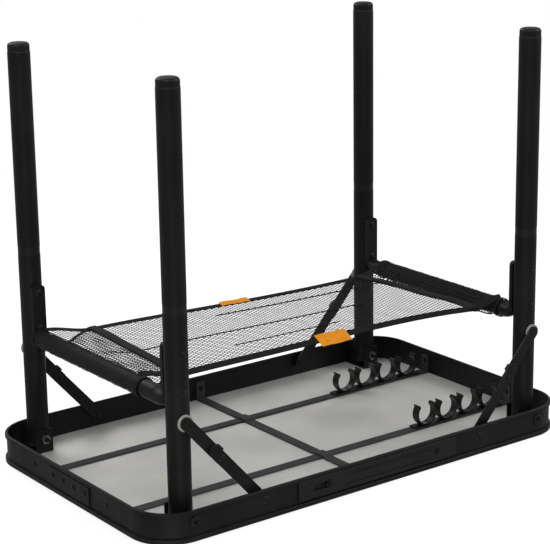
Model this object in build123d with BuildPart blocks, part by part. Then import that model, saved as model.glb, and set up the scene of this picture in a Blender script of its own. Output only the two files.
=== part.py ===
from build123d import *
import os
from math import atan2, cos, degrees, hypot, radians, sin, sqrt

os.makedirs("parts", exist_ok=True)

# A folding camp table standing on its feet, in millimetres, +Z up. The origin is on the floor
# under the middle of the top. Right is +X, front is -Y. "Depth" is a distance below the top.

# table top and its edge frame
total_height = 492.0
table_length = 600.0
table_width = 362.0
corner_radius = 50.0
panel_thickness = 3.0
cover_thickness = 1.2     # edge frame over the rim of the panel
panel_depth = cover_thickness + panel_thickness
cover_width = 7.5
slot_inset = 1.8          # bottom of the slot that the panel sits in
panel_play = 0.3
rim_height = 5.5
rim_rounding = 1.2
wall_inset = 2.5
wall_thickness = 1.6
skirt_depth = 35.0
bead_height = 4.0
bead_inset = 0.6
bead_rounding = 1.6
butt_gap = 0.4            # where the two ends of the edge frame meet

# bars under the panel
bar_width = 12.5
bar_thickness = 2.0
long_bar_y = 78.5
bar_end_margin = 7.0
tab_depth = skirt_depth - bar_end_margin     # bar ends turn down along the skirt
joggle_half = 8.0         # cross bar steps over each long bar
joggle_slope = 5.0

# rivets in the edge frame
rivet_drop = 0.5          # from the middle of the handle
rivet_radius = 2.0
rivet_head = 3.6
rivet_head_height = 1.6
splice_length = 88.0
splice_step = 0.5         # the splice plate is a little lower than the handle
splice_rise = 1.5         # from its rivets
splice_thickness = 1.6
splice_pitch = 23.0

# strips of clips that hold the leg extensions
clip_count = 4
clip_first_x = -157.5
clip_pitch = 34.5
clip_wall = 2.0
clip_width = 10.0
clip_opening = 50.0       # half angle of the mouth
clip_base_width = 14.0
clip_base_thickness = 2.0
clip_base_margin = 3.0
clip_play = 0.2
clip_overlap = 0.8        # the rings merge into the base
flare_length = 4.4        # tips turn out, to lead a pole in
flare_tilt = 52.0
flare_out = 0.7
flare_drop = 0.9
screw_radius = 1.6
screw_head = 3.0
screw_head_height = 1.2
screw_play = 0.05

# carry handle on the front
handle_length = 230.0
rim_margin = 2.75         # between the rim and the handle
handle_margin = 0.25      # between the handle and the bead
handle_thickness = 2.5
handle_x = -2.0
handle_rivet_x = (70.0, -88.0)
handle_slot = (65.0, 93.0)
handle_slot_height = 8.0
handle_rivet_head = 5.0
handle_rivet_height = 1.4
groove_depth = 0.5
groove_width = 1.4
groove_spread = 11.0
groove_length = 126.0
groove_x = -14.0

# legs
leg_radius = 13.0
dome_overhang = 1.8       # domed end of a leg, past the tube's own radius
leg_end_radius = leg_radius + dome_overhang
bracket_thickness = 1.5
pivot_clearance = 1.0     # the domed end turns clear of its bracket
pivot_depth = panel_depth + bracket_thickness + leg_end_radius + pivot_clearance
cap_step = 0.2            # caps and collars are a little smaller than the tube
leg_wall = 1.5
leg_x = 250.0
leg_y = 152.0
plug_length = 26.0
collar_depth = 246.0
collar_length = 10.0
collar_radius = leg_radius - cap_step
collar_liner = 24.0
liner_wall = 1.0
spigot_length = 30.0
spigot_wall = 1.5
shoulder = 3.0
seam = 0.2
foot_height = 11.0
foot_radius = leg_radius - cap_step
foot_plug = 20.0
foot_rounding = 4.0
drill_reach = 20.0        # cuts past both walls of a leg
fit = 0.1                 # glued and pressed plastic in a tube
running_fit = 0.05        # pins and bolts that something turns on
sliding_fit = 0.08

# leg pivots
bolt_radius = 3.0
bolt_head = 6.0
bolt_head_height = 2.6
nut_radius = 5.6
nut_height = 4.4
spacer_radius = 5.5
bracket_half = 11.0
ear_half = 8.0
ear_off_wall = 1.5
bracket_margin = 2.0
bracket_drop = skirt_depth - bracket_margin
side_play = 0.6

# cross tube of each leg frame
tube_radius = 10.0
tube_wall = 1.2
tube_depth = 147.0
tube_straight = 114.0     # half of its straight length
tab_width = 17.0
tab_thickness = 5.0
tab_end_depth = 211.0
tab_start_depth = 155.0
tube_rivet_depths = (160.0, 202.0)
tube_rivet_radius = 2.5
tube_rivet_head = 4.0
tube_rivet_height = 1.5
bend_push = 6.0           # the tube bends down between its straight part and its tabs
bend_drop = 2.5
bend_narrowing = 0.6
bend_flattening = 0.68
bend_slope = 0.8
tab_overlap = 6.0
tab_rounding = 5.0
bore_end = 4.0            # the bore stops short of the bend

# shelf mesh and its sleeves
sleeve_gap = 0.3
sleeve_wall = 1.1
mesh_width = 212.0
mesh_shift = {"right": 24.0, "left": -2.0}
mesh_thickness = 1.2
mesh_gap = 0.4
hem_bow = 12.0

# folding braces
brace_pin_depth = 128.5
brace_reach = 94.0        # skirt rivet from the leg's middle
link_width = 14.0
link_thickness = 1.8
link_gap = 0.3
washer_radius = 9.2
washer_thickness = 1.95
pin_radius = 3.0
pin_head = 5.0
lower_overrun = 15.0      # lower link runs on past the middle rivet
stop_width = 8.0
stop_thickness = 1.6
stop_reach = 3.0
middle_head = 4.2
middle_head_height = 1.6
middle_tail_height = 1.2
skirt_rivet_head = 5.0
skirt_rivet_height = 2.2
shoulder_radius = 5.0

sides = {"right": 1, "left": -1}
ends = {"front": -1, "back": 1}

# places that follow from the sizes above
handle_height = skirt_depth - bead_height - handle_margin - rim_height - rim_margin
handle_depth = rim_height + rim_margin + handle_height / 2
rivet_depth = handle_depth + rivet_drop
splice_height = handle_height - splice_step
wall_outer = table_width / 2 - wall_inset
wall_inner = wall_outer - wall_thickness
end_outer = table_length / 2 - wall_inset
end_inner = end_outer - wall_thickness
bar_depth = panel_depth + bar_thickness
leg_outer = leg_y + leg_radius
leg_inner = leg_y - leg_radius
leg_bore = leg_radius - leg_wall
leg_top_depth = pivot_depth - sqrt(leg_end_radius**2 - leg_radius**2)
extension_depth = collar_depth + collar_length + seam
foot_depth = total_height - foot_height
liner_bore = leg_bore - fit - liner_wall
bracket_inner = leg_inner - side_play - bracket_thickness
upper_inner = leg_outer + fit / 2 + washer_thickness + 2 * fit
upper_outer = upper_inner + link_thickness
lower_inner = upper_outer + link_gap
lower_outer = lower_inner + link_thickness
clip_radius = leg_radius + clip_play
clip_depth = bar_depth + clip_base_thickness + clip_radius + clip_wall - clip_overlap
brace_drop = brace_pin_depth - pivot_depth
brace_span = hypot(brace_reach, brace_drop)
upper_length = (brace_span - (brace_drop - brace_reach)) / 2
lower_length = brace_span - upper_length


def down(depth):
    return total_height - depth


def keep(piece, name):
    piece.part.label = name
    export_step(piece.part, f"parts/{name}.step")


def side_plane(y):
    # drawn in X and Z, at this Y
    return Plane.XZ.offset(-y)


def add_slab(depth_from, depth_to, inset, mode=Mode.ADD):
    with BuildSketch(Plane.XY.offset(down(depth_to))) as slab:
        RectangleRounded(table_length - 2 * inset, table_width - 2 * inset, corner_radius - inset)
    extrude(slab.sketch, amount=depth_to - depth_from, mode=mode)


def add_rod(x, z, radius, y_from, y_to, mode=Mode.ADD):
    with BuildSketch(side_plane(y_from)) as disc:
        with Locations((x, z)):
            Circle(radius)
    extrude(disc.sketch, amount=y_from - y_to, mode=mode)


def add_rod_x(y, z, radius, x_from, x_to, mode=Mode.ADD):
    with BuildSketch(Plane.YZ.offset(x_from)) as disc:
        with Locations((y, z)):
            Circle(radius)
    extrude(disc.sketch, amount=x_to - x_from, mode=mode)


def add_dome(x, y, z, outward, radius, height):
    ball = (radius**2 + height**2) / (2 * height)
    half = atan2(radius, ball - height) / 2
    across = Vector(0, 0, 1)
    place = Vector(x, y, z)
    with BuildSketch(Plane(origin=place, x_dir=across, z_dir=across.cross(outward))) as half_dome:
        with BuildLine():
            Line((0, 0), (radius, 0))
            ThreePointArc((radius, 0), (ball * sin(half), height - ball + ball * cos(half)), (0, height))
            Line((0, height), (0, 0))
        make_face()
    revolve(half_dome.sketch, axis=Axis(place, outward))


def add_tube(x, y, outer, inner, depth_from, depth_to):
    with BuildSketch(Plane.XY.offset(down(depth_to))) as ring:
        with Locations((x, y)):
            Circle(outer)
            if inner:
                Circle(inner, mode=Mode.SUBTRACT)
    extrude(ring.sketch, amount=depth_to - depth_from)


def clip_places():
    return [clip_first_x - clip_pitch * i for i in range(clip_count)]


def table_top():
    with BuildPart() as panel:
        add_slab(cover_thickness, panel_depth, slot_inset + panel_play)
        add_slab(0, cover_thickness, cover_width + panel_play)    # flush with the edge frame
    keep(panel, "table_top")


def edge_frame():
    with BuildPart() as frame:
        add_slab(0, rim_height, 0)
        fillet(frame.edges().group_by(Axis.Z)[-1], rim_rounding)
        fillet(frame.edges().group_by(Axis.Z)[0], rim_rounding)
        add_slab(rim_height, skirt_depth, wall_inset)
        add_slab(skirt_depth - bead_height, skirt_depth, bead_inset)
        fillet(frame.edges().group_by(Axis.Z)[0], bead_rounding)
        add_slab(0, cover_thickness, cover_width, Mode.SUBTRACT)
        add_slab(cover_thickness, panel_depth, slot_inset, Mode.SUBTRACT)
        add_slab(panel_depth, skirt_depth, wall_inset + wall_thickness, Mode.SUBTRACT)
        for front in ends.values():
            reach = front * (wall_outer + 1), front * (wall_inner - 1)
            for right in sides.values():
                add_rod(right * leg_x, down(pivot_depth), bolt_radius + running_fit, *reach, Mode.SUBTRACT)
                brace_x = right * (leg_x - brace_reach)
                add_rod(brace_x, down(pivot_depth), pin_radius + running_fit, *reach, Mode.SUBTRACT)
            add_rod(0, down(rivet_depth), rivet_radius + running_fit, *reach, Mode.SUBTRACT)
        for x in handle_rivet_x:
            reach = -wall_outer - 1, 1 - wall_inner
            add_rod(x, down(rivet_depth), rivet_radius + running_fit, *reach, Mode.SUBTRACT)
        for right in sides.values():
            reach = right * (end_outer + 1), right * (end_inner - 1)
            for y in (-long_bar_y, long_bar_y):
                add_rod_x(y, down(rivet_depth), rivet_radius + running_fit, *reach, Mode.SUBTRACT)
        for y in splice_places():
            reach = end_outer + 1, end_inner - 1
            add_rod_x(y, down(rivet_depth), rivet_radius + running_fit, *reach, Mode.SUBTRACT)
        with Locations((table_length / 2, 0, down(skirt_depth / 2))):
            Box(2 * cover_width + 2, butt_gap, skirt_depth + 2, mode=Mode.SUBTRACT)
    keep(frame, "edge_frame")


def splice_places():
    return [splice_pitch * (i - 1.5) for i in range(4)]


def splice_plate():
    with BuildPart() as plate:
        with BuildSketch(Plane.YZ.offset(end_outer)):
            with Locations((0, down(rivet_depth - splice_rise))):
                RectangleRounded(splice_length, splice_height, 2)
            with Locations(*[(y, down(rivet_depth)) for y in splice_places()]):
                Circle(rivet_radius + running_fit, mode=Mode.SUBTRACT)
        extrude(amount=splice_thickness)
    keep(plate, "splice_plate")


def frame_rivets():
    z = down(rivet_depth)
    with BuildPart() as rivets:
        for y in splice_places():
            face = end_outer + splice_thickness
            add_rod_x(y, z, rivet_radius, face, end_inner)
            add_dome(face, y, z, Vector(1, 0, 0), rivet_head, rivet_head_height)
            add_dome(end_inner, y, z, Vector(-1, 0, 0), rivet_head, rivet_head_height)
        for right in sides.values():
            for y in (-long_bar_y, long_bar_y):
                inner = right * (end_inner - bar_thickness)
                add_rod_x(y, z, rivet_radius, right * end_outer, inner)
                add_dome(right * end_outer, y, z, Vector(right, 0, 0), rivet_head, rivet_head_height)
                add_dome(inner, y, z, Vector(-right, 0, 0), rivet_head, rivet_head_height)
        for front in ends.values():
            inner = front * (wall_inner - bar_thickness)
            add_rod(0, z, rivet_radius, front * wall_outer, inner)
            add_dome(0, inner, z, Vector(0, -front, 0), rivet_head, rivet_head_height)
        # the front one ends flush, because the handle covers it
        add_dome(0, wall_outer, z, Vector(0, 1, 0), rivet_head, rivet_head_height)
    keep(rivets, "frame_rivets")


def long_bar(name, y):
    with BuildPart() as bar:
        with BuildSketch(side_plane(y)):
            with Locations((0, down(panel_depth + bar_thickness / 2))):
                Rectangle(2 * end_inner, bar_thickness)
            for right in sides.values():
                tab_x = right * (end_inner - bar_thickness / 2)
                with Locations((tab_x, down((panel_depth + tab_depth) / 2))):
                    Rectangle(bar_thickness, tab_depth - panel_depth)
        extrude(amount=bar_width / 2, both=True)
        for right in sides.values():
            reach = right * (end_inner + 1), right * (end_inner - bar_thickness - 1)
            add_rod_x(y, down(rivet_depth), rivet_radius + running_fit, *reach, Mode.SUBTRACT)
        for x in (clip_places()[0], clip_places()[-1]):
            with Locations((x, y, down(panel_depth + bar_thickness / 2))):
                Cylinder(screw_radius + screw_play, bar_thickness + 2, mode=Mode.SUBTRACT)
    keep(bar, name)


def cross_bar():
    near = long_bar_y - joggle_half - joggle_slope
    far = long_bar_y + joggle_half + joggle_slope
    steps = [(near, 0), (near + joggle_slope, 1), (far - joggle_slope, 1), (far, 0), (wall_inner, 0)]
    upper = [(y, down(panel_depth + up * bar_thickness)) for y, up in steps]
    upper = [(-y, z) for y, z in reversed(upper)] + upper
    lower = [(y, z - bar_thickness) for y, z in reversed(upper)]
    with BuildPart() as bar:
        with BuildSketch(Plane.YZ):
            with BuildLine():
                Polyline(*upper, *lower, close=True)
            make_face()
            for front in ends.values():
                tab_y = front * (wall_inner - bar_thickness / 2)
                with Locations((tab_y, down((panel_depth + tab_depth) / 2))):
                    Rectangle(bar_thickness, tab_depth - panel_depth)
        extrude(amount=bar_width / 2, both=True)
        for front in ends.values():
            reach = front * (wall_inner + 1), front * (wall_inner - bar_thickness - 1)
            add_rod(0, down(rivet_depth), rivet_radius + running_fit, *reach, Mode.SUBTRACT)
    keep(bar, "cross_bar")


def clip_strip(name, y):
    places = clip_places()
    middle = (places[0] + places[-1]) / 2
    outer = clip_radius + clip_wall
    length = places[0] - places[-1] + 2 * (outer + clip_base_margin)
    ring = clip_radius + clip_wall / 2
    across, drop = sin(radians(clip_opening)), cos(radians(clip_opening))
    mouth = 2 * outer         # reaches past the ring
    wedge = [(0, 0), (-mouth * across, -mouth * drop), (mouth * across, -mouth * drop)]
    with BuildPart() as strip:
        with BuildSketch(side_plane(y)):
            for x in places:
                with Locations((x, down(clip_depth))):
                    Circle(outer)
                    Circle(clip_radius, mode=Mode.SUBTRACT)
                    Polygon(*wedge, align=None, mode=Mode.SUBTRACT)
                for right in sides.values():
                    tip_x = x + right * (ring * across + flare_out)
                    tip_z = down(clip_depth) - ring * drop - flare_drop
                    with Locations((tip_x, tip_z)):
                        SlotOverall(flare_length, clip_wall, rotation=-right * flare_tilt)
        extrude(amount=clip_width / 2, both=True)
        with Locations((middle, y, down(bar_depth + clip_base_thickness / 2))):
            Box(length, clip_base_width, clip_base_thickness)
        for x in (places[0], places[-1]):
            with Locations((x, y, down(bar_depth + clip_base_thickness / 2))):
                Cylinder(screw_radius + screw_play, clip_base_thickness + 4, mode=Mode.SUBTRACT)
            head_top = clip_depth - clip_radius
            with Locations((x, y, down(head_top - screw_head_height / 2 + 1))):
                Cylinder(screw_head + screw_play, screw_head_height + 2, mode=Mode.SUBTRACT)
    keep(strip, name)


def clip_screws():
    places = clip_places()
    head_top = clip_depth - clip_radius - fit
    with BuildPart() as screws:
        for x in (places[0], places[-1]):
            for y in (-long_bar_y, long_bar_y):
                add_tube(x, y, screw_head, 0, head_top - screw_head_height + fit, head_top)
                add_tube(x, y, screw_radius, 0, panel_depth, head_top)
    keep(screws, "clip_screws")


def carry_handle():
    z = down(handle_depth)
    face = wall_outer + handle_thickness
    with BuildPart() as handle:
        with BuildSketch(side_plane(-wall_outer)):
            with Locations((handle_x, z)):
                RectangleRounded(handle_length, handle_height, 1.5)
            with Locations(((handle_slot[0] + handle_slot[1]) / 2, down(rivet_depth))):
                SlotOverall(handle_slot[1] - handle_slot[0], handle_slot_height, mode=Mode.SUBTRACT)
            with Locations((handle_rivet_x[1], down(rivet_depth))):
                Circle(rivet_radius + running_fit, mode=Mode.SUBTRACT)
        extrude(amount=handle_thickness)
        fillet(handle.edges().group_by(Axis.Y)[0], 0.8)
        for front in ends.values():
            with Locations((groove_x, groove_depth / 2 - face, z + front * groove_spread / 2)):
                Box(groove_length, groove_depth, groove_width, mode=Mode.SUBTRACT)
    keep(handle, "carry_handle")


def handle_rivets():
    face = -wall_outer - handle_thickness
    with BuildPart() as rivets:
        for x in handle_rivet_x:
            add_rod(x, down(rivet_depth), rivet_radius, face, -wall_inner)
            add_dome(x, face, down(rivet_depth), Vector(0, -1, 0), handle_rivet_head, handle_rivet_height)
            add_dome(x, -wall_inner, down(rivet_depth), Vector(0, 1, 0), rivet_head, handle_rivet_height)
    keep(rivets, "handle_rivets")


def pivot_brackets():
    ear_outer = wall_inner - ear_off_wall
    hole = bolt_radius + running_fit
    with BuildPart() as brackets:
        for right in sides.values():
            for front in ends.values():
                x = right * leg_x
                middle = front * (bracket_inner + ear_outer) / 2
                with Locations((x, middle, down(panel_depth + bracket_thickness / 2))):
                    Box(2 * bracket_half, ear_outer - bracket_inner, bracket_thickness)
                inner_ear = bracket_inner + bracket_thickness, bracket_half
                for outer, half in (inner_ear, (ear_outer, ear_half)):
                    with BuildSketch(side_plane(front * outer)):
                        with Locations((x, down((panel_depth + bracket_drop) / 2))):
                            Rectangle(2 * half, bracket_drop - panel_depth)
                        with Locations((x, down(pivot_depth))):
                            Circle(hole, mode=Mode.SUBTRACT)
                    extrude(amount=front * bracket_thickness)
    keep(brackets, "pivot_brackets")


def pivot_bolts():
    with BuildPart() as bolts:
        for right in sides.values():
            for front in ends.values():
                x, z = right * leg_x, down(pivot_depth)
                add_rod(x, z, bolt_radius, front * wall_outer, front * (bracket_inner - nut_height - 1))
                add_dome(x, front * wall_outer, z, Vector(0, front, 0), bolt_head, bolt_head_height)
    keep(bolts, "pivot_bolts")


def pivot_nuts():
    with BuildPart() as nuts:
        for right in sides.values():
            for front in ends.values():
                with BuildSketch(side_plane(front * bracket_inner)):
                    with Locations((right * leg_x, down(pivot_depth))):
                        RegularPolygon(nut_radius, 6)
                        Circle(bolt_radius + running_fit, mode=Mode.SUBTRACT)
                extrude(amount=front * nut_height)
    keep(nuts, "pivot_nuts")


def pivot_spacers():
    ear_inner = wall_inner - ear_off_wall - bracket_thickness
    with BuildPart() as spacers:
        for right in sides.values():
            for front in ends.values():
                with BuildSketch(side_plane(front * (ear_inner - fit))):
                    with Locations((right * leg_x, down(pivot_depth))):
                        Circle(spacer_radius)
                        Circle(bolt_radius + running_fit, mode=Mode.SUBTRACT)
                extrude(amount=front * (ear_inner - leg_outer - link_gap))
    keep(spacers, "pivot_spacers")


def brace_rivets():
    # shouldered rivets that hold the lower links off the skirt
    z = down(pivot_depth)
    with BuildPart() as rivets:
        for right in sides.values():
            for front in ends.values():
                x = right * (leg_x - brace_reach)
                add_rod(x, z, pin_radius, front * wall_outer, front * (lower_inner - fit))
                add_rod(x, z, shoulder_radius, front * wall_inner, front * (lower_outer + fit))
                add_dome(x, front * wall_outer, z, Vector(0, front, 0), skirt_rivet_head, skirt_rivet_height)
                tail = front * (lower_inner - fit)
                add_dome(x, tail, z, Vector(0, -front, 0), middle_head, middle_tail_height)
    keep(rivets, "brace_rivets")


def leg(name, x, y):
    with BuildPart() as tube:
        add_tube(x, y, leg_radius, leg_bore, leg_top_depth, collar_depth)
        reach = y - drill_reach, y + drill_reach
        add_rod(x, down(pivot_depth), bolt_radius + running_fit, *reach, Mode.SUBTRACT)
        for depth in (*tube_rivet_depths, brace_pin_depth):
            radius = pin_radius if depth == brace_pin_depth else tube_rivet_radius
            add_rod(x, down(depth), radius + running_fit, *reach, Mode.SUBTRACT)
    keep(tube, name)


def pivot_plugs(name, x):
    with BuildPart() as plugs:
        for y in (-leg_y, leg_y):
            add_tube(x, y, leg_bore - fit, 0, leg_top_depth, leg_top_depth + plug_length)
            with BuildSketch(side_plane(y)):
                with BuildLine():
                    start = (x + leg_radius, down(leg_top_depth))
                    bulge = (x + leg_end_radius * sin(0.5), down(pivot_depth) + leg_end_radius * cos(0.5))
                    end = (x, down(pivot_depth - leg_end_radius))
                    Line((x, down(leg_top_depth)), start)
                    ThreePointArc(start, bulge, end)
                    Line(end, (x, down(leg_top_depth)))
                make_face()
            revolve(axis=Axis((x, y, 0), (0, 0, 1)))
            reach = y - drill_reach, y + drill_reach
            add_rod(x, down(pivot_depth), bolt_radius + running_fit, *reach, Mode.SUBTRACT)
    keep(plugs, name)


def collars(name, x):
    with BuildPart() as rings:
        for y in (-leg_y, leg_y):
            add_tube(x, y, collar_radius, liner_bore, collar_depth, collar_depth + collar_length)
            add_tube(x, y, leg_bore - fit, liner_bore, collar_depth - collar_liner, collar_depth)
    keep(rings, name)


def cross_tube(name, x):
    turn = (tube_straight + leg_inner - tab_thickness / 2) / 2
    with BuildPart() as tube:
        add_rod(x, down(tube_depth), tube_radius, -tube_straight, tube_straight)
        for front in ends.values():
            straight = (x, front * tube_straight, down(tube_depth))
            start = Plane(origin=straight, x_dir=(1, 0, 0), z_dir=(0, front, 0))
            half = (x, front * (turn + bend_push), down(tube_depth + bend_drop))
            bend = Plane(origin=half, x_dir=(1, 0, 0), z_dir=(0, front, -bend_slope))
            plate = (x, front * (leg_inner - tab_thickness / 2), down(tab_start_depth))
            flat = Plane(origin=plate, x_dir=(1, 0, 0), z_dir=(0, 0, -1))
            with BuildSketch(start):
                Ellipse(tube_radius, tube_radius)
            with BuildSketch(bend):
                Ellipse(tube_radius - bend_narrowing, bend_flattening * tube_radius)
            with BuildSketch(flat):
                Ellipse(tab_width / 2, tab_thickness / 2)
            loft()
            with BuildSketch(side_plane(front * leg_inner)):
                with Locations((x, down((tab_start_depth - tab_overlap + tab_end_depth) / 2))):
                    tab_height = tab_end_depth - tab_start_depth + tab_overlap
                    RectangleRounded(tab_width, tab_height, tab_rounding)
            extrude(amount=front * tab_thickness)
            for depth in tube_rivet_depths:
                reach = front * (leg_inner + 1), front * (leg_inner - tab_thickness - 12)
                add_rod(x, down(depth), tube_rivet_radius + running_fit, *reach, Mode.SUBTRACT)
        reach = tube_straight - bore_end
        add_rod(x, down(tube_depth), tube_radius - tube_wall, -reach, reach, Mode.SUBTRACT)
    keep(tube, name)


def cross_tube_rivets(name, x):
    face = leg_inner - tab_thickness
    with BuildPart() as rivets:
        for front in ends.values():
            for depth in tube_rivet_depths:
                z = down(depth)
                add_rod(x, z, tube_rivet_radius, front * face, front * leg_outer)
                add_dome(x, front * leg_outer, z, Vector(0, front, 0), tube_rivet_head, tube_rivet_height)
                add_dome(x, front * face, z, Vector(0, -front, 0), tube_rivet_head, tube_rivet_height)
    keep(rivets, name)


def sleeve(name, x, shift):
    inner = tube_radius + sleeve_gap
    with BuildPart() as cloth:
        end = mesh_width / 2
        add_rod(x, down(tube_depth), inner + sleeve_wall, shift - end, shift + end)
        add_rod(x, down(tube_depth), inner, shift - end - 1, shift + end + 1, Mode.SUBTRACT)
    keep(cloth, name)


def shelf_mesh():
    reach = leg_x - tube_radius - sleeve_gap - sleeve_wall - mesh_gap
    half = mesh_width / 2
    right, left = mesh_shift["right"], mesh_shift["left"]
    middle = (right + left) / 2
    with BuildPart() as mesh:
        with BuildSketch(Plane.XY.offset(down(tube_depth + mesh_thickness / 2))):
            with BuildLine():
                Line((reach, right - half), (reach, right + half))
                ThreePointArc((reach, right + half), (0, middle + half - hem_bow), (-reach, left + half))
                Line((-reach, left + half), (-reach, left - half))
                ThreePointArc((-reach, left - half), (0, middle - half + hem_bow), (reach, right - half))
            make_face()
        extrude(amount=mesh_thickness)
    keep(mesh, "shelf_mesh")


def brace_pins(name, x):
    z = down(brace_pin_depth)
    with BuildPart() as pins:
        for front in ends.values():
            add_rod(x, z, pin_radius, front * leg_inner, front * upper_outer)
            add_rod(x, z, pin_head, front * (upper_outer - link_thickness / 2), front * upper_outer)
            add_dome(x, front * leg_inner, z, Vector(0, -front, 0), tube_rivet_head, tube_rivet_height)
    keep(pins, name)


def brace_washers(name, x):
    with BuildPart() as washers:
        for front in ends.values():
            with BuildSketch(side_plane(front * (leg_outer + fit / 2 + washer_thickness))):
                with Locations((x, down(brace_pin_depth))):
                    Circle(washer_radius)
                    Circle(pin_radius + running_fit, mode=Mode.SUBTRACT)
            extrude(amount=front * washer_thickness)
    keep(washers, name)


def brace(name, right, front):
    # both links lie in one line at rest, from the pin on the leg to the rivet in the skirt
    pin = Vector(right * leg_x, down(brace_pin_depth))
    skirt = Vector(right * (leg_x - brace_reach), down(pivot_depth))
    along = (skirt - pin).normalized()
    across = Vector(-right * along.Y, right * along.X)   # away from the corner
    middle = pin + along * upper_length
    tilt = degrees(atan2(along.Y, along.X))

    with BuildPart() as upper:
        with BuildSketch(side_plane(front * upper_outer)):
            with Locations((pin + middle) / 2):
                SlotCenterToCenter(upper_length, link_width, rotation=tilt)
            for place in (pin, middle):
                with Locations(place):
                    Circle(pin_radius + running_fit, mode=Mode.SUBTRACT)
        extrude(amount=front * link_thickness)
        head = pin_head + running_fit
        reach = front * upper_outer, front * (upper_outer - link_thickness / 2 - fit)
        add_rod(pin.X, pin.Y, head, *reach, Mode.SUBTRACT)
    keep(upper, f"{name}_upper_link")

    start = middle - along * lower_overrun
    with BuildPart() as lower:
        with BuildSketch(side_plane(front * lower_outer)):
            with Locations((start + skirt) / 2):
                SlotCenterToCenter(lower_length + lower_overrun, link_width, rotation=tilt)
            stop = middle - along * (lower_overrun - stop_width / 2) + across * (link_width / 2 + fit)
            with Locations(stop + across * (stop_thickness / 2)):
                Rectangle(stop_width, stop_thickness + 2 * fit, rotation=tilt)
            for place in (middle, skirt):
                with Locations(place):
                    Circle(pin_radius + running_fit, mode=Mode.SUBTRACT)
        extrude(amount=front * link_thickness)
        with BuildSketch(side_plane(front * lower_outer)):
            with Locations(stop + across * (stop_thickness / 2 + fit)):
                Rectangle(stop_width, stop_thickness, rotation=tilt)
        extrude(amount=front * (link_thickness + stop_reach))
    keep(lower, f"{name}_lower_link")

    # the middle rivet is in two halves, one on each link, because the links part a little on the way
    with BuildPart() as outer_half:
        add_rod(middle.X, middle.Y, pin_radius, front * lower_outer, front * lower_inner)
        place = front * lower_outer
        add_dome(middle.X, place, middle.Y, Vector(0, front, 0), middle_head, middle_head_height)
    keep(outer_half, f"{name}_outer_rivet")

    with BuildPart() as inner_half:
        add_rod(middle.X, middle.Y, pin_radius, front * upper_outer, front * upper_inner)
        place = front * upper_inner
        add_dome(middle.X, place, middle.Y, Vector(0, -front, 0), middle_head, middle_tail_height)
    keep(inner_half, f"{name}_inner_rivet")


def extension(name, x, y):
    spigot = liner_bore - sliding_fit
    with BuildPart() as pole:
        add_tube(x, y, leg_radius, leg_bore, extension_depth + shoulder, foot_depth)
        add_tube(x, y, leg_radius, spigot - spigot_wall, extension_depth, extension_depth + shoulder)
        add_tube(x, y, spigot, spigot - spigot_wall, extension_depth - spigot_length, extension_depth)
    keep(pole, f"{name}_extension")

    with BuildPart() as foot:
        add_tube(x, y, foot_radius, 0, foot_depth, total_height)
        fillet(foot.edges().group_by(Axis.Z)[0], foot_rounding)
        add_tube(x, y, leg_bore - fit, 0, foot_depth - foot_plug, foot_depth)
    keep(foot, f"{name}_foot")


def main():
    table_top()
    edge_frame()
    splice_plate()
    frame_rivets()
    cross_bar()
    clip_screws()
    carry_handle()
    handle_rivets()
    pivot_brackets()
    pivot_bolts()
    pivot_nuts()
    pivot_spacers()
    brace_rivets()
    shelf_mesh()
    for end, front in ends.items():
        long_bar(f"{end}_long_bar", front * long_bar_y)
        clip_strip(f"{end}_clip_strip", front * long_bar_y)
    for side, right in sides.items():
        x = right * leg_x
        pivot_plugs(f"{side}_pivot_plugs", x)
        collars(f"{side}_collars", x)
        cross_tube(f"{side}_cross_tube", x)
        cross_tube_rivets(f"{side}_cross_tube_rivets", x)
        sleeve(f"{side}_sleeve", x, mesh_shift[side])
        brace_pins(f"{side}_brace_pins", x)
        brace_washers(f"{side}_brace_washers", x)
        for end, front in ends.items():
            leg(f"{side}_{end}_leg", x, front * leg_y)
            brace(f"{side}_{end}", right, front)
            extension(f"{side}_{end}", x, front * leg_y)
    print("link lengths", round(upper_length, 2), round(lower_length, 2))


main()
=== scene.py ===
from math import cos, pi, radians, sin, sqrt

import bpy
from mathutils import Matrix, Vector


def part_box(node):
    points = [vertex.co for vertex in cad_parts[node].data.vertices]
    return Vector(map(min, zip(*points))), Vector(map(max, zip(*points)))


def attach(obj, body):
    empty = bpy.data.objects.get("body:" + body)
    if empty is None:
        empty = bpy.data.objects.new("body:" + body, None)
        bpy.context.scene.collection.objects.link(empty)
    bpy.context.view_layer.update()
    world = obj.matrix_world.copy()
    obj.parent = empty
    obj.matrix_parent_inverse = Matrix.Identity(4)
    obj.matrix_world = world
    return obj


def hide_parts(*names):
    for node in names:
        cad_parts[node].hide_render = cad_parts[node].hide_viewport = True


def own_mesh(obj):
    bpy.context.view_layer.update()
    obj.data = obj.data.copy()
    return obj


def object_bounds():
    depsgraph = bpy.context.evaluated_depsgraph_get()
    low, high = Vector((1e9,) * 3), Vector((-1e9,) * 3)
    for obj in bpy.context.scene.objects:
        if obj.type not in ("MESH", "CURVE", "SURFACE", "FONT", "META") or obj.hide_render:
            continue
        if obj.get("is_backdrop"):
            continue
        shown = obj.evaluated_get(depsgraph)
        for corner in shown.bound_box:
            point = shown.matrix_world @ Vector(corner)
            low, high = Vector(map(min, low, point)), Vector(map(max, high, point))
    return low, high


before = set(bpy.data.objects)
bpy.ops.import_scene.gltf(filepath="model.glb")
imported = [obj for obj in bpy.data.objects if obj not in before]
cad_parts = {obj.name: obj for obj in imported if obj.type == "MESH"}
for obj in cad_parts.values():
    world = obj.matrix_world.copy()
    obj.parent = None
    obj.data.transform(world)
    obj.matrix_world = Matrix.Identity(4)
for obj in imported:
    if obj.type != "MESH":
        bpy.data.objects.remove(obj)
cadLow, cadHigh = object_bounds()
print("frame loaded")

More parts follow.
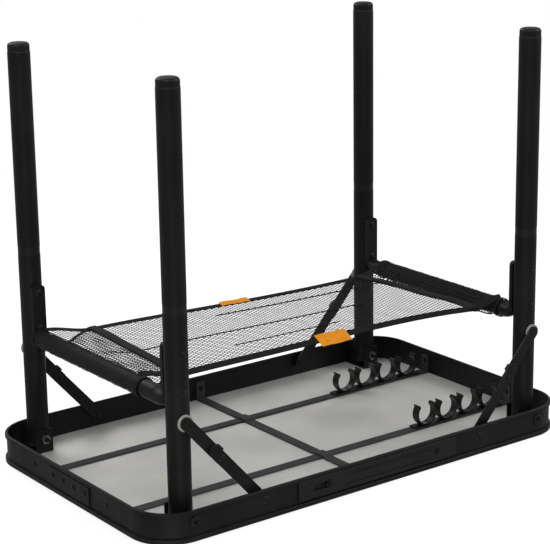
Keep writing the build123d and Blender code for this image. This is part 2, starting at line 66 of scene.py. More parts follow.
# the table stands on its feet, +Z up, in metres; the main camera is upside down and looks from below
sides = {"right": 1, "left": -1}
ends = {"front": -1, "back": 1}
mm = 0.001
sharpFrom = {"cad": radians(28), "made": radians(35)}      # edges stay crisp above these angles


# small helpers

def hexColour(text):
    # sRGB hex to the linear values a shader wants
    channels = [int(text[i:i + 2], 16) / 255 for i in (1, 3, 5)]
    return [c / 12.92 if c <= 0.04045 else ((c + 0.055) / 1.055) ** 2.4 for c in channels] + [1.0]


def addNode(tree, kind, settings=None, links=None):
    node = tree.nodes.new(kind)
    for name, value in (settings or {}).items():
        if name in node.inputs:
            node.inputs[name].default_value = value
        else:
            setattr(node, name, value)
    for name, source in (links or {}).items():
        tree.links.new(source, node.inputs[name])
    return node


def addRamp(tree, source, stops):
    node = addNode(tree, "ShaderNodeValToRGB", links={"Fac": source})
    ramp = node.color_ramp
    while len(ramp.elements) < len(stops):
        ramp.elements.new(0.5)
    for element, (place, colour) in zip(ramp.elements, stops):
        element.position = place
        element.color = hexColour(colour)
    return node.outputs["Color"]


def newMaterial(name, shaderSettings):
    material = bpy.data.materials.new(name)
    material.use_nodes = True
    tree = material.node_tree
    shader = tree.nodes["Principled BSDF"]
    for socket, value in shaderSettings.items():
        shader.inputs[socket].default_value = value
    coords = tree.nodes.new("ShaderNodeTexCoord")
    return material, tree, shader, coords


def addBump(tree, shader, height, distance, strength):
    bump = addNode(tree, "ShaderNodeBump", {"Distance": distance, "Strength": strength}, {"Height": height})
    tree.links.new(bump.outputs["Normal"], shader.inputs["Normal"])


def addNoise(tree, coords, sizeMm, detail=3.0, stretch=(1, 1, 1), roughness=0.5):
    # the pattern's own size in millimetres; stretch makes it longer along an axis
    scale = [1 / s for s in stretch]
    place = addNode(tree, "ShaderNodeMapping", {"Scale": scale}, {"Vector": coords.outputs["Object"]})
    noise = addNode(tree, "ShaderNodeTexNoise", {"Scale": 1000 / sizeMm, "Detail": detail, "Roughness": roughness},
                    {"Vector": place.outputs["Vector"]})
    return noise.outputs["Fac"]


# materials

powderCoat = {
    "peelMm": 0.9,         # orange peel of a polyester powder coat
    "cloudMm": 60.0,       # slow change of film thickness
    "scuffMm": 7.0,
}


def makePowderCoat(name, low, high, roughness, peelDepth):
    # polyester powder coat, sprayed dry and baked: satin black with a fine orange peel and faint rub marks
    material, tree, shader, coords = newMaterial(name, {"IOR": 1.5, "Metallic": 0.0, "Specular IOR Level": 0.16})
    cloud = addNoise(tree, coords, powderCoat["cloudMm"], 4.0)
    tree.links.new(addRamp(tree, cloud, [(0.35, low), (0.68, high)]), shader.inputs["Base Color"])
    scuff = addNoise(tree, coords, powderCoat["scuffMm"], 6.0, (1, 1, 5), 0.6)
    rub = addNode(tree, "ShaderNodeMapRange",
                  {"From Min": 0.3, "From Max": 0.75, "To Min": roughness + 0.05, "To Max": roughness - 0.09},
                  {"Value": scuff})
    tree.links.new(rub.outputs["Result"], shader.inputs["Roughness"])
    addBump(tree, shader, addNoise(tree, coords, powderCoat["peelMm"], 2.0), peelDepth, 0.45)
    return material


def makePanel():
    # mill-finish aluminium sheet, cold rolled: pale grey, satin, fine lines along the roll and soft blotches
    material, tree, shader, coords = newMaterial("aluminium_sheet_rolled", {"Metallic": 0.6})
    blotch = addNoise(tree, coords, 85.0, 5.0)
    lines = addNoise(tree, coords, 0.8, 2.0, (60, 1, 1))
    tree.links.new(addRamp(tree, blotch, [(0.3, "#c9c8c5"), (0.7, "#dddcd8")]), shader.inputs["Base Color"])
    both = addNode(tree, "ShaderNodeMath", {"operation": "ADD"}, {0: blotch, 1: lines})
    rough = addNode(tree, "ShaderNodeMapRange", {"From Min": 0.7, "From Max": 1.3, "To Min": 0.5, "To Max": 0.64},
                    {"Value": both.outputs["Value"]})
    tree.links.new(rough.outputs["Result"], shader.inputs["Roughness"])
    addBump(tree, shader, lines, 0.00003, 0.3)
    return material


def makeMoulded(name, low, high, roughness, grainMm, grainDepth, ior=1.49):
    # injection-moulded plastic: an even spark-eroded grain left by the mould
    material, tree, shader, coords = newMaterial(name, {"IOR": ior, "Specular IOR Level": 0.22})
    flow = addNoise(tree, coords, 25.0, 3.0)
    tree.links.new(addRamp(tree, flow, [(0.3, low), (0.7, high)]), shader.inputs["Base Color"])
    rough = addNode(tree, "ShaderNodeMapRange", {"To Min": roughness - 0.05, "To Max": roughness + 0.06},
                    {"Value": flow})
    tree.links.new(rough.outputs["Result"], shader.inputs["Roughness"])
    addBump(tree, shader, addNoise(tree, coords, grainMm, 2.0), grainDepth, 0.5)
    return material


def makeZinc():
    # bright zinc plate on steel, barrel plated: grey metal with a faint mottle
    material, tree, shader, coords = newMaterial("steel_zinc_plated", {"Metallic": 1.0})
    mottle = addNoise(tree, coords, 3.0, 4.0)
    tree.links.new(addRamp(tree, mottle, [(0.3, "#7d7f80"), (0.7, "#a3a5a5")]), shader.inputs["Base Color"])
    rough = addNode(tree, "ShaderNodeMapRange", {"To Min": 0.3, "To Max": 0.45}, {"Value": mottle})
    tree.links.new(rough.outputs["Result"], shader.inputs["Roughness"])
    return material


def makeLink():
    # stamped steel strip, powder coated before it was sheared: the coat is thin on its cut edges and steel shows
    material, tree, shader, coords = newMaterial("steel_strip_stamped_coated",
                                                 {"IOR": 1.5, "Specular IOR Level": 0.16})
    cloud = addNoise(tree, coords, 30.0, 4.0)
    coat = addRamp(tree, cloud, [(0.3, "#0e0e0f"), (0.7, "#171718")])
    facing = addNode(tree, "ShaderNodeSeparateXYZ", links={"Vector": coords.outputs["Normal"]})
    flatness = addNode(tree, "ShaderNodeMath", {"operation": "ABSOLUTE"}, {0: facing.outputs["Y"]})
    edge = addNode(tree, "ShaderNodeMapRange", {"From Min": 0.5, "From Max": 0.2, "To Min": 0.0, "To Max": 1.0},
                   {"Value": flatness.outputs["Value"]})
    chips = addNoise(tree, coords, 5.0, 5.0)
    worn = addNode(tree, "ShaderNodeMapRange", {"From Min": 0.66, "From Max": 0.74}, {"Value": chips})
    bare = addNode(tree, "ShaderNodeMath", {"operation": "MULTIPLY"},
                   {0: edge.outputs["Result"], 1: worn.outputs["Result"]})
    steel = hexColour("#6b6b6a")
    mix = addNode(tree, "ShaderNodeMix", {"data_type": "RGBA"})
    tree.links.new(bare.outputs["Value"], mix.inputs["Factor"])
    tree.links.new(coat, mix.inputs[6])
    mix.inputs[7].default_value = steel
    tree.links.new(mix.outputs[2], shader.inputs["Base Color"])
    tree.links.new(bare.outputs["Value"], shader.inputs["Metallic"])
    shader.inputs["Roughness"].default_value = 0.42
    addBump(tree, shader, addNoise(tree, coords, powderCoat["peelMm"], 2.0), 0.00004, 0.4)
    return material


def makeYarn(name, low, high, yarnMm, sheen):
    # textured polyester yarn: matt black with a soft sheen, and twist that shows as fine ribs
    material, tree, shader, coords = newMaterial(name, {"IOR": 1.55, "Roughness": 0.72, "Sheen Weight": sheen,
                                                        "Sheen Roughness": 0.5, "Specular IOR Level": 0.15})
    fuzz = addNoise(tree, coords, 4.0, 4.0)
    tree.links.new(addRamp(tree, fuzz, [(0.3, low), (0.7, high)]), shader.inputs["Base Color"])
    twist = addNode(tree, "ShaderNodeTexWave", {"Scale": 1000 / yarnMm / (2 * pi), "Distortion": 2.0,
                                                "wave_type": "BANDS", "bands_direction": "DIAGONAL"},
                    {"Vector": coords.outputs["Object"]})
    addBump(tree, shader, twist.outputs["Fac"], 0.00012, 0.5)
    return material


def makeTag():
    # woven satin label tape in orange polyester: flat, bright, with fine weft ribs across the tape
    material, tree, shader, coords = newMaterial("polyester_label_tape_woven",
                                                 {"IOR": 1.5, "Roughness": 0.6, "Specular IOR Level": 0.2})
    wear = addNoise(tree, coords, 6.0, 4.0)
    tree.links.new(addRamp(tree, wear, [(0.3, "#cf7d08"), (0.7, "#de8f12")]), shader.inputs["Base Color"])
    ribMm = 0.5
    ribs = addNode(tree, "ShaderNodeTexWave", {"Scale": 1000 / ribMm / (2 * pi), "bands_direction": "Y"},
                   {"Vector": coords.outputs["Object"]})
    addBump(tree, shader, ribs.outputs["Fac"], 0.00008, 0.5)
    return material


frameCoat = makePowderCoat("aluminium_powder_coated_black", "#0e0e0f", "#171718", 0.5, 0.00005)
legCoat = makePowderCoat("steel_tube_powder_coated_black", "#0b0b0c", "#131314", 0.48, 0.00005)
rivetCoat = makePowderCoat("steel_rivet_coated_black", "#070708", "#0c0c0d", 0.34, 0.00002)
barCoat = makePowderCoat("steel_strip_powder_coated_grey", "#313033", "#3e3d40", 0.55, 0.00005)
panelSheet = makePanel()
clipPlastic = makeMoulded("polyamide_moulded_black", "#0b0b0c", "#131314", 0.42, 0.6, 0.00004)
footPlastic = makeMoulded("polyethylene_moulded_black", "#0e0e0f", "#161617", 0.5, 0.5, 0.00005)
handleStrap = makeMoulded("polypropylene_strap_moulded", "#111112", "#19191a", 0.46, 1.0, 0.00006)
nylonWasher = makeMoulded("nylon_natural_moulded", "#8b8982", "#a09e96", 0.4, 0.8, 0.00002, 1.53)
zincSteel = makeZinc()
linkSteel = makeLink()
netYarn = makeYarn("polyester_net_knitted_black", "#050506", "#0c0c0d", 0.5, 0.0)
# the same black net yarn made lighter for the sleeves: a painted highlight on the ring strands wrapped round the
# tube
sleeveYarnPaintedHighlight = makeYarn("polyester_net_black_painted_highlight", "#161617", "#232324", 0.5, 0.02)
hemYarn = makeYarn("polyester_binding_woven_black", "#060607", "#0e0e0f", 0.7, 0.01)
threadYarn = makeYarn("polyester_thread_twisted", "#101011", "#1b1b1c", 0.3, 0.02)
tagTape = makeTag()

nodeFinish = {
    "table_top": panelSheet, "edge_frame": frameCoat, "splice_plate": frameCoat, "frame_rivets": rivetCoat,
    "front_long_bar": barCoat, "back_long_bar": barCoat, "cross_bar": barCoat,
    "front_clip_strip": clipPlastic, "back_clip_strip": clipPlastic, "clip_screws": zincSteel,
    "carry_handle": handleStrap, "handle_rivets": rivetCoat, "pivot_brackets": legCoat,
    "pivot_nuts": zincSteel, "pivot_spacers": clipPlastic, "brace_rivets": legCoat,
}
endings = [("_leg", legCoat), ("_plugs", clipPlastic), ("_collars", clipPlastic), ("_cross_tube", legCoat),
           ("_rivets", legCoat), ("_pins", legCoat), ("_washers", nylonWasher), ("_link", linkSteel),
           ("_rivet", legCoat), ("_extension", legCoat)]


def finishOf(node):
    if node in nodeFinish:
        return nodeFinish[node]
    return next((material for ending, material in endings if node.endswith(ending)), legCoat)


for node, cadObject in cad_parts.items():
    cadObject.data.materials.clear()
    cadObject.data.materials.append(finishOf(node))
    cadObject.data.shade_smooth()
    cadObject.data.set_sharp_from_angle(angle=sharpFrom["cad"])
print("materials on", len(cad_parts), "CAD nodes")


# pieces built from points

def makeObject(name, points, faces, material, smooth=True):
    mesh = bpy.data.meshes.new(name)
    mesh.from_pydata([tuple(p) for p in points], [], faces)
    mesh.validate()
    mesh.materials.append(material)
    if smooth:
        mesh.shade_smooth()
        mesh.set_sharp_from_angle(angle=sharpFrom["made"])
    made = bpy.data.objects.new(name, mesh)
    bpy.context.scene.collection.objects.link(made)
    return made


def loftRings(rings, capStart=True, capEnd=True):
    # closed rings of equal count, joined one to the next
    count = len(rings[0])
    points = [p for ring in rings for p in ring]
    faces = []
    for r in range(len(rings) - 1):
        for i in range(count):
            j = (i + 1) % count
            faces.append((r * count + i, r * count + j, (r + 1) * count + j, (r + 1) * count + i))
    if capStart:
        faces.append(tuple(reversed(range(count))))
    if capEnd:
        faces.append(tuple(range((len(rings) - 1) * count, len(rings) * count)))
    return points, faces


def makeBand(name, path, across, width, thickness, material, corners=10):
    # a flat woven band with rounded edges, swept along a path
    rings = []
    for i, place in enumerate(path):
        before, after = path[max(i - 1, 0)], path[min(i + 1, len(path) - 1)]
        along = (after - before).normalized()
        wide = across - along * across.dot(along)
        wide.normalize()
        up = along.cross(wide)
        ring = []
        for k in range(corners):
            angle = 2 * pi * k / corners
            c, s = cos(angle), sin(angle)
            ring.append(place + wide * (width / 2 * abs(c) ** 0.6 * (1 if c > 0 else -1))
                        + up * (thickness / 2 * abs(s) ** 0.6 * (1 if s > 0 else -1)))
        rings.append(ring)
    return makeObject(name, *loftRings(rings), material)


# feet: ribbed caps

foot = {
    "radius": 12.6, "height": 11.0, "ribs": 60, "ribDepth": 0.45, "ribFrom": 2.6, "ribTo": 9.2,
    "domeRadius": 4.0, "domeSteps": 8, "rimRadius": 12.8, "rimHeight": 1.0, "rimGap": 0.2,
    "pointsPerRib": 4, "step": 0.5,
}


def makeFoot(name, x, y):
    f = foot
    count = f["ribs"] * f["pointsPerRib"]
    levels = [(f["radius"] - f["domeRadius"], 0.0)]
    for i in range(1, f["domeSteps"] + 1):
        angle = pi / 2 * i / f["domeSteps"]
        levels.append((f["radius"] - f["domeRadius"] * (1 - sin(angle)), f["domeRadius"] * (1 - cos(angle))))
    z = f["domeRadius"] + f["step"]
    while z < f["height"] - f["rimHeight"] - f["rimGap"]:
        levels.append((f["radius"], z))
        z += f["step"]
    levels += [(f["rimRadius"], f["height"] - f["rimHeight"]), (f["rimRadius"], f["height"])]
    rings = []
    for radius, z in levels:
        inside = f["ribFrom"] < z < f["ribTo"]
        ring = []
        for k in range(count):
            groove = (k % f["pointsPerRib"]) == 0
            r = radius - (f["ribDepth"] if inside and groove else 0)
            angle = 2 * pi * k / count
            ring.append(Vector((x + r * mm * cos(angle), y + r * mm * sin(angle), z * mm)))
        rings.append(ring)
    return makeObject(name, *loftRings(rings), footPlastic)


for side in sides:
    for end in ends:
        node = f"{side}_{end}_foot"
        low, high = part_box(node)
        made = makeFoot(f"{side}_{end}_ribbed_cap", (low.x + high.x) / 2, (low.y + high.y) / 2)
        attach(made, f"{side}_{end}_extension_pole")
        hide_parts(node)
print("feet done")


# pivot bolts: button heads with a hexagon socket

bolt = {
    "shaft": 3.0, "head": 6.0, "headHeight": 2.6, "domeSteps": 8, "segments": 48,
    "socket": 2.0, "socketDepth": 1.5, "socketLand": 1.0, "socketEdge": 0.25,
    "insideNut": 7.0,          # how far short of the nut's far face the shaft ends
}


def boltShape(x, z, faceY, innerY, front):
    b = bolt
    count = b["segments"]

    def ringAt(y, radii):
        return [Vector((x + r * mm * cos(2 * pi * k / count), y, z + r * mm * sin(2 * pi * k / count)))
                for k, r in enumerate(radii)]

    hexagon = []
    for k in range(count):
        angle = (2 * pi * k / count) % (pi / 3) - pi / 6
        hexagon.append(b["socket"] / cos(angle))
    rings = [ringAt(innerY, [b["shaft"]] * count), ringAt(faceY, [b["shaft"]] * count),
             ringAt(faceY, [b["head"]] * count)]
    land = b["socket"] + b["socketLand"]
    for i in range(1, b["domeSteps"]):
        angle = pi / 2 * i / b["domeSteps"]
        rings.append(ringAt(faceY + front * b["headHeight"] * mm * sin(angle),
                            [land + (b["head"] - land) * cos(angle)] * count))
    top = faceY + front * b["headHeight"] * mm
    rings += [ringAt(top, [r + b["socketEdge"] for r in hexagon]),
              ringAt(top - front * b["socketEdge"] * mm, hexagon),
              ringAt(top - front * b["socketDepth"] * mm, hexagon)]
    points, faces = loftRings(rings)
    if front < 0:
        faces = [tuple(reversed(face)) for face in faces]
    return points, faces


low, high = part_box("pivot_bolts")
wallY = high.y - bolt["headHeight"] * mm
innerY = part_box("pivot_nuts")[1].y - bolt["insideNut"] * mm
pivotZ = (low.z + high.z) / 2
legX = high.x - bolt["head"] * mm
points, faces = [], []
for right in sides.values():
    for front in ends.values():
        morePoints, moreFaces = boltShape(right * legX, pivotZ, front * wallY, front * innerY, front)
        faces += [tuple(p + len(points) for p in face) for face in moreFaces]
        points += morePoints
bolts = makeObject("pivot_button_bolts", points, faces, legCoat)
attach(bolts, "top")
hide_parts("pivot_bolts")
print("bolts done")


# the shelf: knitted net between the two cross tubes

netLow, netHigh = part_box("shelf_mesh")
netZ = (netLow.z + netHigh.z) / 2
shelf = {
    "width": 200.0,            # the cloth before it is hemmed and sewn round the tubes
    "edge": 250.0,             # the net meets its sleeve over the middle of the tube
    "pitch": 5.4,              # across one hexagonal hole of the knit
    "open": 0.58,              # width of a hole, as a share of the pitch
    "longer": 0.24,            # added to its length along the grain
    "grain": (0.866, 0.5),     # the holes are drawn out aslant across the cloth
    "splitX": 12.0,            # the two halves meet here, clear of the tags
    "crease": 1.3,             # height of the soft lengthwise folds
    "tubeReach": 12.0,         # how far above and below the tube's middle the net meets its sleeve
    "back": [(-238, 104), (-180, 103), (0, 113), (180, 131), (238, 130)],
    "front": [(-238, -108), (-180, -91), (0, -81), (180, -80), (238, -82)],
    "waves": [(0.6, 9.4, 0.9, 0.0), (0.4, 21.0, 0.0, 0.004)],      # share, waves, start and drift of the folds
    "hemThickness": 1.5, "hemInset": 0.25, "hemSteps": 40,
    "seamWidth": 13.0, "seamThickness": 3.6, "seamLift": 0.9, "seamSteps": 36,
    "creaseThickness": 0.9, "creaseLift": 0.5, "creaseSteps": 30,
    "flapDrop": 1.2, "flapTaper": 0.16, "flapHemWidth": 5.0, "flapSteps": 20,
    "flapReach": {"right": 64.0, "left": 44.0},
}
hemOf = {
    "front": {"v": 0.0, "inward": 1, "width": 10.0, "tilt": radians(22)},
    "back": {"v": 1.0, "inward": -1, "width": 7.0, "tilt": radians(15)},
}
creases = [                    # pressed in where the net is folded away: two rows of mesh lie on each other
    {"v": 0.80, "from": -236.0, "to": 40.0, "width": 3.2},
    {"v": 0.47, "from": -130.0, "to": 225.0, "width": 2.8},
    {"v": 0.24, "from": -60.0, "to": 90.0, "width": 2.0},
]
netEdge = shelf["edge"]


def alongCurve(points, x):
    # the smooth curve of lowest order through a few points
    total = 0.0
    for i, (xi, yi) in enumerate(points):
        term = yi
        for j, (xj, _) in enumerate(points):
            if i != j:
                term *= (x - xj) / (xi - xj)
        total += term
    return total


def smoothStep(value):
    value = min(max(value, 0.0), 1.0)
    return value * value * (3 - 2 * value)


seamLine = {
    "right": {"middle": 187.0, "bow": 4.0, "bowWaves": 5.0, "swing": 10.0, "swingShare": 0.32},
    "left": {"middle": 212.0, "bow": 8.0, "bowWaves": 4.2, "bowStart": 0.5, "ripple": 3.0, "rippleWaves": 11.0},
}


def seamAt(right, v):
    # where the flap is sewn to the net, in millimetres from the middle
    if right > 0:
        s = seamLine["right"]
        swing = smoothStep((s["swingShare"] - v) / s["swingShare"])      # it runs out to the tube at the front
        return s["middle"] + s["bow"] * sin(s["bowWaves"] * v) + s["swing"] * swing
    s = seamLine["left"]
    bow = s["bow"] * sin(s["bowWaves"] * v + s["bowStart"])
    return -(s["middle"] + bow + s["ripple"] * sin(s["rippleWaves"] * v))


def netPoint(x, v, flap=False):
    # x in millimetres, v from 0 at the front hem to 1 at the back
    # the net runs over the tube on the side of the feet, its flap between the tube and the panel
    right = 1 if x > 0 else -1
    seam = abs(seamAt(right, v))
    rise = smoothStep((abs(x) - seam) / (netEdge - seam))
    across = 0.5 + (v - 0.5) * (1 - shelf["flapTaper"] * rise) if flap else v
    y = alongCurve(shelf["front"], x) * (1 - across) + alongCurve(shelf["back"], x) * across
    folds = sum(share * sin(v * waves + start + x * drift) for share, waves, start, drift in shelf["waves"])
    flat = shelf["crease"] * folds * sin(pi * v) * cos(x / netEdge * pi / 2)
    drop = shelf["flapDrop"]
    z = drop + (shelf["tubeReach"] - drop) * rise if flap else flat - shelf["tubeReach"] * rise
    return Vector((x * mm, y * mm, netZ + z * mm))


def hemFrame(end):
    # the hem is a little turned: its width, and the way its visible face looks
    tilt = hemOf[end]["tilt"]
    return Vector((0, cos(tilt), -sin(tilt))), Vector((0, -sin(tilt), -cos(tilt)))


def hemPoint(x, end):
    hem = hemOf[end]
    return netPoint(x, hem["v"]) + hemFrame(end)[0] * (hem["inward"] * shelf["hemInset"] * hem["width"] * mm)


def stretch(start, stop, steps):
    return [start + (stop - start) * i / steps for i in range(steps + 1)]


def makeNet(name, xFrom, xTo, width, place, cloth, material):
    # hexagonal meshes in the cloth's flat plane, each an open ring of knitted strands
    points, faces, shared = [], [], {}
    pitch, grain = cloth["pitch"], Vector(cloth["grain"])
    stepX, stepY = pitch * sqrt(3) / 2, pitch
    corner = pitch / sqrt(3)

    def flatPoint(u, w):
        u, w = min(max(u, min(xFrom, xTo)), max(xFrom, xTo)), min(max(w, 0.0), width)
        key = (round(u, 3), round(w, 3))
        if key not in shared:
            shared[key] = len(points)
            points.append(place(u, w / width))
        return shared[key]

    start = min(xFrom, xTo)
    columns = int((max(xFrom, xTo) - start) / stepX) + 2
    rows = int(width / stepY) + 2
    for column in range(columns):
        for row in range(rows):
            cx = start + column * stepX
            cy = (row + 0.5 * (column % 2)) * stepY
            outer, inner = [], []
            for k in range(6):
                angle = pi / 3 * k
                outer.append((cx + corner * cos(angle), cy + corner * sin(angle)))
                hole = Vector((cos(angle), sin(angle))) * corner
                hole = hole * cloth["open"] + grain * (hole.dot(grain) * cloth["longer"])
                inner.append((cx + hole.x, cy + hole.y))
            inside = [start <= u <= max(xFrom, xTo) and 0 <= w <= width for u, w in inner]
            if sum(inside) < 3:
                continue
            a = [flatPoint(u, w) for u, w in outer]
            b = [flatPoint(u, w) for u, w in inner]
            for k in range(6):
                face = [a[k], a[(k + 1) % 6], b[(k + 1) % 6], b[k]]
                face = [p for i, p in enumerate(face) if p != face[i - 1]]
                if len(set(face)) >= 3:
                    faces.append(tuple(dict.fromkeys(face)))
    return makeObject(name, points, faces, material, smooth=False)


fold = {
    "right": {"axis": (-1, 0, 1), "keep": 0.01},
    "left": {"axis": (1, 0, 1), "keep": 0.10},
}


def foldsWith(piece, side):
    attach(piece, "top")
    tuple(fold[side]["axis"])
    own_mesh(piece)


halves = {}
midX = shelf["splitX"]
for side, right in sides.items():
    edgeX = right * netEdge
    net = makeNet(f"shelf_net_{side}", midX, edgeX, shelf["width"], netPoint, shelf, netYarn)
    extras = []
    for end, hem in hemOf.items():
        path = [hemPoint(x, end) for x in stretch(midX, edgeX, shelf["hemSteps"])]
        extras.append(makeBand(f"shelf_hem_{end}_{side}", path, hemFrame(end)[0], hem["width"] * mm,
                               shelf["hemThickness"] * mm, hemYarn))
    lift = Vector((0, 0, shelf["seamLift"] * mm))
    seamPath = [netPoint(seamAt(right, v), v) - lift for v in stretch(0, 1, shelf["seamSteps"])]
    extras.append(makeBand(f"shelf_flap_seam_{side}", seamPath, Vector((1, 0, 0)), shelf["seamWidth"] * mm,
                           shelf["seamThickness"] * mm, hemYarn))
    for number, crease in enumerate(creases, 1):
        low = max(crease["from"], midX) if right > 0 else crease["from"]
        high = crease["to"] if right > 0 else min(crease["to"], midX)
        if low < high:
            lift = Vector((0, 0, shelf["creaseLift"] * mm))
            path = [netPoint(x, crease["v"]) - lift for x in stretch(low, high, shelf["creaseSteps"])]
            extras.append(makeBand(f"shelf_crease_{number}_{side}", path, Vector((0, 1, 0)), crease["width"] * mm,
                                   shelf["creaseThickness"] * mm, netYarn))
    halves[side] = (net, extras)
print("net halves done")


def flapPoint(side, right):
    # the flap runs from its seam to the panel's side of the tube
    def place(u, v):
        seam = abs(seamAt(right, v))
        return netPoint(right * (seam + (netEdge - seam) * u / shelf["flapReach"][side]), v, flap=True)
    return place


for side, right in sides.items():
    net, extras = halves[side]
    reach = shelf["flapReach"][side]
    place = flapPoint(side, right)
    flap = makeNet(f"shelf_flap_{side}", 0.0, reach, shelf["width"], place, shelf, netYarn)
    for end, hem in hemOf.items():
        path = [place(u, hem["v"]) for u in stretch(0, reach, shelf["flapSteps"])]
        flapHem = makeBand(f"flap_hem_{end}_{side}", path, Vector((0, 1, 0)), shelf["flapHemWidth"] * mm,
                           shelf["hemThickness"] * mm, hemYarn)
        foldsWith(flapHem, side)
    foldsWith(flap, side)
    for piece in [net] + extras:
        foldsWith(piece, side)


# blank tags on the hems

tags = {
    "back": {"from": -30.0, "to": 9.5, "out": -5.0, "depth": 9.0, "slant": 0.0},
    "front": {"from": -35.0, "to": 8.5, "out": -13.0, "depth": 21.0, "slant": -2.0},
}
tape = {"rows": 5, "steps": 20, "frontLift": 1.7, "backLift": 1.1, "curl": 0.4, "curlWaves": 0.5}


def makeTagPiece(end, settings):
    # a short tape folded over the hem and sewn through, hanging a little proud of the net
    across, face = hemFrame(end)
    rows = tape["rows"]
    rings = []
    for i, x in enumerate(stretch(settings["from"], settings["to"], tape["steps"])):
        hem = hemPoint(x, end)

        def spot(k, lift, hem=hem):
            out = settings["out"] + settings["depth"] * k / (rows - 1)
            lean = Vector((settings["slant"] * mm * k / (rows - 1), 0, 0))
            return hem + lean + across * (hemOf[end]["inward"] * out * mm) + face * (lift * mm)

        curl = tape["curl"] * sin(i * tape["curlWaves"])
        visible = [spot(k, tape["frontLift"] + curl) for k in range(rows)]
        rings.append(visible + [spot(k, tape["backLift"] + curl) for k in reversed(range(rows))])
    return makeObject(f"blank_tag_{end}", *loftRings(rings), tagTape)


for end, settings in tags.items():
    tag = makeTagPiece(end, settings)
    foldsWith(tag, "left")

stitch = {
    "length": 2.4, "pitch": 3.6, "radius": 0.28, "inset": 0.3, "steps": 60, "corners": 6,
    "profile": ((-0.5, 0.35), (-0.3, 1.0), (0.3, 1.0), (0.5, 0.35)),
}


def makeStitches(name, path, face):
    # a row of lockstitch: short rounded threads end to end
    points, faces, travelled, due = [], [], 0.0, 0.0
    turns = [2 * pi * k / stitch["corners"] for k in range(stitch["corners"])]
    for a, b in zip(path, path[1:]):
        length = (b - a).length
        while due <= travelled + length and length > 0:
            along = (b - a).normalized()
            place = a + along * (due - travelled)
            wide = along.cross(face).normalized()
            rings = []
            for t, r in stitch["profile"]:
                middle = place + along * (t * stitch["length"] * mm)
                rings.append([middle + (wide * cos(turn) + face * sin(turn)) * (r * stitch["radius"] * mm)
                              for turn in turns])
            morePoints, moreFaces = loftRings(rings)
            base = len(points)
            points += morePoints
            faces += [tuple(p + base for p in loop) for loop in moreFaces]
            due += stitch["pitch"] * mm
        travelled += length
    return makeObject(name, points, faces, threadYarn)


for side, right in sides.items():
    net, extras = halves[side]
    for end, hem in hemOf.items():
        across, face = hemFrame(end)
        shift = across * (hem["inward"] * stitch["inset"] * hem["width"] * mm)
        shift += face * (shelf["hemThickness"] / 2 * mm)
        path = [hemPoint(x, end) + shift for x in stretch(midX, right * netEdge, stitch["steps"])]
        thread = makeStitches(f"hem_stitches_{end}_{side}", path, face)
        foldsWith(thread, side)
        extras.append(thread)
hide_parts("shelf_mesh")
print("shelf, hems, tags and stitches done")


# sleeves of the same net round the cross tubes

sleeve = {
    "pitch": 3.4, "open": 0.5, "longer": 0.25, "grain": (0.0, 1.0), "gather": 0.3, "overhang": 7.0, "lift": 0.35,
    "gathers": [(0.6, 0.19, 3), (0.4, 0.41, -2)],      # share, waves along the tube, turns round it
    "cuffWidth": 6.0, "cuffThickness": 1.2, "cuffInset": 2.5, "cuffSteps": 48,
}


def makeSleeve(side):
    low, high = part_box(f"{side}_sleeve")
    middle = Vector(((low.x + high.x) / 2, 0, (low.z + high.z) / 2))
    radius = (high.z - low.z) / 2 / mm - sleeve["lift"]
    around = 2 * pi * radius
    first, last = low.y / mm - sleeve["overhang"], high.y / mm + sleeve["overhang"]

    def place(y, turn):
        # the cloth is gathered a little where the seam pulls at it
        angle = 2 * pi * turn
        bulge = sleeve["gather"] * sum(share * sin(y * waves + turns * angle)
                                       for share, waves, turns in sleeve["gathers"])
        return Vector((middle.x, y * mm, middle.z)) + Vector((cos(angle), 0, sin(angle))) * ((radius + bulge) * mm)

    # the sleeve net takes the lighter yarn, whose colour is a painted highlight
    cloth = makeNet(f"sleeve_net_{side}", first, last, around, place, sleeve, sleeveYarnPaintedHighlight)
    cuffs = []
    for end, y in (("front", first + sleeve["cuffInset"]), ("back", last - sleeve["cuffInset"])):
        ring = []
        for i in range(sleeve["cuffSteps"] + 1):
            angle = 2 * pi * i / sleeve["cuffSteps"]
            ring.append(Vector((middle.x, y * mm, middle.z)) + Vector((cos(angle), 0, sin(angle)))
                        * ((radius + sleeve["gather"]) * mm))
        cuffs.append(makeBand(f"sleeve_cuff_{end}_{side}", ring, Vector((0, 1, 0)), sleeve["cuffWidth"] * mm,
                              sleeve["cuffThickness"] * mm, hemYarn))
    for piece in [cloth] + cuffs:
        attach(piece, f"{side}_leg_frame")
    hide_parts(f"{side}_sleeve")


for side in sides:
    makeSleeve(side)
print("sleeves done")


# floor, light and camera

stage = {
    "size": 3.0, "fade": (0.9, 1.45), "colour": "#a2a2a1", "glow": 0.72, "gap": 0.0006,
    "ambient": 0.45,           # the white backdrop lights the table only softly
}


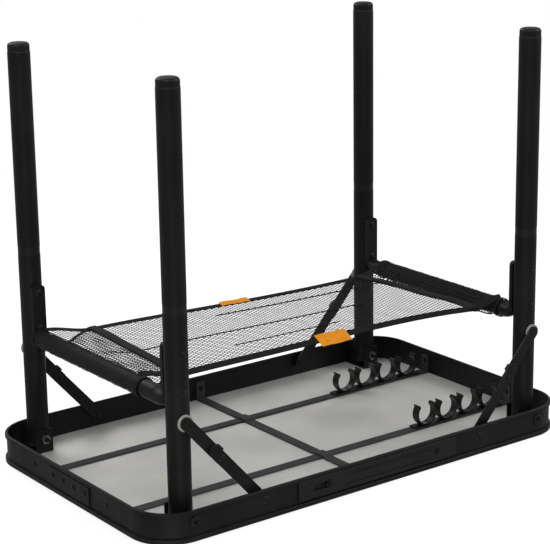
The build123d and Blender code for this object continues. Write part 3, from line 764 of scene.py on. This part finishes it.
def makeStagePlane(name, z, up):
    # seen from one side only, so that it never hides the table
    s = stage["size"]
    corners = [(-s, -s, z), (s, -s, z), (s, s, z), (-s, s, z)]
    face = (0, 1, 2, 3) if up > 0 else (3, 2, 1, 0)
    material = bpy.data.materials.new(name + "_paper")
    material.use_nodes = True
    tree = material.node_tree
    shader = tree.nodes["Principled BSDF"]
    shader.inputs["Base Color"].default_value = hexColour(stage["colour"])
    shader.inputs["Roughness"].default_value = 0.9
    shader.inputs["Emission Color"].default_value = hexColour("#ffffff")
    shader.inputs["Emission Strength"].default_value = stage["glow"]
    shader.inputs["Specular IOR Level"].default_value = 0.0
    geometry = tree.nodes.new("ShaderNodeNewGeometry")
    clear = tree.nodes.new("ShaderNodeBsdfTransparent")
    coords = tree.nodes.new("ShaderNodeTexCoord")
    flat = addNode(tree, "ShaderNodeVectorMath", {"operation": "MULTIPLY"}, {0: coords.outputs["Object"]})
    flat.inputs[1].default_value = (1, 1, 0)
    far = addNode(tree, "ShaderNodeVectorMath", {"operation": "LENGTH"}, {0: flat.outputs["Vector"]})
    fade = addNode(tree, "ShaderNodeMapRange", {"From Min": stage["fade"][0], "From Max": stage["fade"][1]},
                   {"Value": far.outputs["Value"]})
    either = addNode(tree, "ShaderNodeMath", {"operation": "MAXIMUM"},
                     {0: fade.outputs["Result"], 1: geometry.outputs["Backfacing"]})
    mix = tree.nodes.new("ShaderNodeMixShader")
    tree.links.new(either.outputs["Value"], mix.inputs["Fac"])
    tree.links.new(shader.outputs["BSDF"], mix.inputs[1])
    tree.links.new(clear.outputs["BSDF"], mix.inputs[2])
    tree.links.new(mix.outputs["Shader"], tree.nodes["Material Output"].inputs["Surface"])
    plane = makeObject(name, corners, [face], material, smooth=False)
    for ray in ("diffuse", "glossy", "transmission", "shadow"):
        setattr(plane, "visible_" + ray, False)
    plane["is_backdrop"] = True


makeStagePlane("floor_under_feet", cadLow.z - stage["gap"], 1)
makeStagePlane("sheet_under_turned_table", cadHigh.z + stage["gap"], -1)


def addLight(name, place, aim, size, power):
    data = bpy.data.lights.new(name, "AREA")
    data.shape, data.size, data.energy = "DISK", size, power
    light = bpy.data.objects.new(name, data)
    bpy.context.scene.collection.objects.link(light)
    light.location = place
    light.rotation_mode = "QUATERNION"
    light.rotation_quaternion = (Vector(aim) - Vector(place)).to_track_quat("-Z", "Y")


centre = (0, 0, 0.25)
addLight("softbox_below_right", (1.7, -1.3, -1.5), centre, 1.6, 34)
addLight("softbox_below_left", (-1.8, -1.0, -1.2), centre, 1.4, 24)
addLight("softbox_below_back", (0.2, 1.9, -1.3), centre, 1.4, 20)
addLight("softbox_above_front", (1.1, -1.7, 2.1), centre, 1.6, 15)
addLight("softbox_above_back", (-1.4, 1.5, 1.9), centre, 1.6, 12)

world = bpy.data.worlds.new("pale_studio")
bpy.context.scene.world = world
world.use_nodes = True
worldTree = world.node_tree
backdrop = worldTree.nodes["Background"]
backdrop.inputs["Color"].default_value = hexColour("#ffffff")
rays = worldTree.nodes.new("ShaderNodeLightPath")
glow = addNode(worldTree, "ShaderNodeMapRange", {"To Min": stage["ambient"], "To Max": 1.0},
               {"Value": rays.outputs["Is Camera Ray"]})
worldTree.links.new(glow.outputs["Result"], backdrop.inputs["Strength"])
bpy.context.scene.view_settings.view_transform = "Standard"

shot = {
    "place": (1.2572, -1.6945, -0.3134),
    "forward": (-0.571125, 0.774918, 0.270775),
    "up": (-0.172824, 0.208958, -0.962532),
    "pixelFocal": 1861.2, "imageWidth": 550, "sensor": 36.0,
}
cameraData = bpy.data.cameras.new("camera")
camera = bpy.data.objects.new("camera", cameraData)
bpy.context.scene.collection.objects.link(camera)
cameraData.sensor_width = shot["sensor"]
cameraData.lens = shot["pixelFocal"] * shot["sensor"] / shot["imageWidth"]
forward, up = Vector(shot["forward"]).normalized(), Vector(shot["up"])
across = forward.cross(up).normalized()
up = across.cross(forward)
turn = Matrix((across, up, -forward)).transposed()
camera.matrix_world = Matrix.Translation(Vector(shot["place"])) @ turn.to_4x4()
bpy.context.scene.camera = camera
print("stage, light and camera done")

low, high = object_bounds()
{"cad": [list(cadLow), list(cadHigh)], "visual": [list(low), list(high)]}
